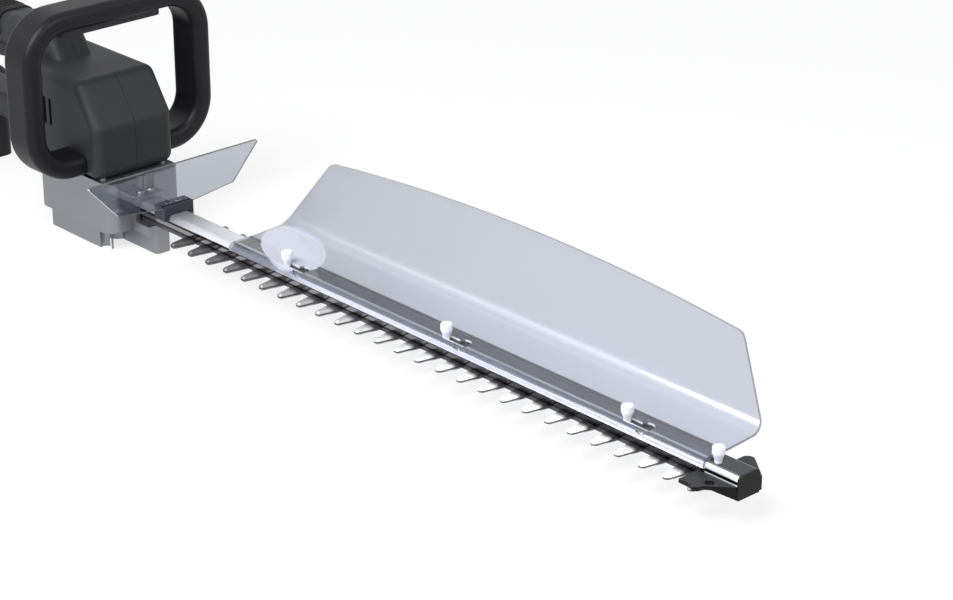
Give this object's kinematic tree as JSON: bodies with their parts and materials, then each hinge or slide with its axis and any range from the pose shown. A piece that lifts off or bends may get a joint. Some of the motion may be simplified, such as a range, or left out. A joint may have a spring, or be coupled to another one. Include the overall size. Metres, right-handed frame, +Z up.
{
  "type": "hedge trimmer",
  "caption": "Cordless hedge trimmer with a double-sided reciprocating blade, clear clip-on clippings collector, clear hand guard, front loop handle and rear grip.",
  "frame": {"origin": "on the floor under the drive gear's axis, at the foot of the gear base", "axes": "+X along the bar to its tip, +Z up"},
  "size_m": [0.9712, 0.169, 0.189],
  "materials": {
    "blade_steel": "ground steel",
    "bar_aluminium": "satin anodised profile",
    "clear_sheet": "clear polycarbonate sheet",
    "peg_plastic": "milky white nylon",
    "housing_plastic": "fine grained graphite plastic",
    "handle_plastic": "satin black plastic",
    "guard_plastic": "black nylon",
    "bracket_plastic": "dark slate plastic",
    "soft_grip": "ribbed soft rubber",
    "cast_aluminium": "bead blasted casting",
    "screw_steel": "zinc plated",
    "gear_steel": "machined steel",
    "bearing_steel": "polished steel",
    "motor_steel": "plated steel can",
    "ferrite": "pressed ferrite",
    "copper": "bare copper",
    "carbon": "pressed carbon",
    "board_green": "lacquered circuit board",
    "switch_plastic": "moulded black plastic",
    "spring_steel": "drawn wire",
    "battery_plastic": "grained black plastic",
    "cell_sleeve": "sleeved cell",
    "lamp_plastic": "tinted light pipe"
  },
  "bodies": {
    "frame": {"guide_bar": "bar_aluminium", "blade_bolts": "screw_steel", "blade_spacers": "gear_steel", "tip_guard": "guard_plastic", "tip_guard_screw": "screw_steel", "collector_pegs": "peg_plastic", "hand_guard": "clear_sheet", "guard_bracket": "bracket_plastic", "guard_screws": "screw_steel", "bar_screws": "screw_steel", "upper_gear_bearing": "bearing_steel", "lower_gear_bearing": "bearing_steel", "gearbox_case": "cast_aluminium", "gearbox_base": "cast_aluminium", "gearbox_screws": "screw_steel", "motor_can": "motor_steel", "motor_magnets": "ferrite", "motor_end_cap": "switch_plastic", "motor_brushes": "carbon", "motor_screws": "screw_steel", "front_handle_front": "handle_plastic", "front_handle_back": "handle_plastic", "front_handle_screws": "screw_steel", "lever_springs": "spring_steel", "front_microswitch": "switch_plastic", "housing_left": "housing_plastic", "housing_right": "housing_plastic", "housing_screws": "screw_steel", "rear_grip": "soft_grip", "trigger_pin": "gear_steel", "trigger_spring": "spring_steel", "rear_microswitch": "switch_plastic", "control_board": "board_green", "terminal_block": "switch_plastic", "terminal_blades": "copper"},
    "rotor": {"motor_shaft": "gear_steel", "armature": "motor_steel", "commutator": "copper", "cooling_fan": "switch_plastic", "motor_pinion": "gear_steel"},
    "gear": {"drive_gear": "gear_steel", "drive_shaft": "gear_steel", "shaft_circlip": "spring_steel", "upper_cam": "gear_steel", "lower_cam": "gear_steel"},
    "upper_blade": {"upper_blade": "blade_steel"},
    "lower_blade": {"lower_blade": "blade_steel"},
    "trigger": {"rear_trigger": "switch_plastic"},
    "switch_lever": {"front_switch_lever": "switch_plastic"},
    "battery": {"battery_tray": "battery_plastic", "battery_lid": "battery_plastic", "battery_screws": "screw_steel", "battery_cells": "cell_sleeve", "battery_board": "board_green", "latch_spring": "spring_steel", "charge_lamps": "lamp_plastic"},
    "latch": {"battery_latch": "switch_plastic"},
    "charge_button": {"charge_button": "switch_plastic"},
    "collector": {"collector": "clear_sheet"}
  },
  "joints": [
    {"name": "motor_spin", "type": "hinge", "parent": "frame", "child": "rotor", "pos_m": [-0.03, 0, 0.08], "axis": [0, 0, 1], "continuous": true},
    {"name": "gear_spin", "type": "hinge", "parent": "frame", "child": "gear", "pos_m": [0, 0, 0.037], "axis": [0, 0, 1], "continuous": true},
    {"name": "upper_blade_slide", "type": "slide", "parent": "frame", "child": "upper_blade", "axis": [1, 0, 0], "range_m": [-0.00525, 0.00525]},
    {"name": "lower_blade_slide", "type": "slide", "parent": "frame", "child": "lower_blade", "axis": [1, 0, 0], "range_m": [-0.00525, 0.00525]},
    {"name": "trigger_pull", "type": "hinge", "parent": "frame", "child": "trigger", "pos_m": [-0.132, 0, 0.128], "axis": [0, 1, 0], "range_deg": [0, 8], "stiffness_Nm_per_rad": 0.5, "springref_deg": -17.19, "deforming": ["trigger_spring"]},
    {"name": "switch_lever_press", "type": "slide", "parent": "frame", "child": "switch_lever", "axis": [0, 0, 1], "range_m": [0, 0.004], "stiffness_N_per_m": 800, "springref_m": -0.003, "deforming": ["lever_springs"]},
    {"name": "battery_slide", "type": "slide", "parent": "frame", "child": "battery", "axis": [-1, 0, 0], "range_m": [0, 0.1]},
    {"name": "latch_press", "type": "slide", "parent": "battery", "child": "latch", "axis": [0, 0, -1], "range_m": [0, 0.003], "stiffness_N_per_m": 600, "springref_m": -0.004, "deforming": ["latch_spring"]},
    {"name": "charge_button_press", "type": "slide", "parent": "battery", "child": "charge_button", "axis": [1, 0, 0], "range_m": [0, 0.001], "stiffness_N_per_m": 500, "springref_m": -0.001},
    {"name": "collector_slide", "type": "slide", "parent": "frame", "child": "collector", "axis": [-1, 0, 0], "range_m": [0, 0.016]}
  ],
  "couplings": [
    {"joint": "gear_spin", "follows": "motor_spin", "ratio": -0.25},
    {"joint": "lower_blade_slide", "follows": "upper_blade_slide", "ratio": -1}
  ]
}
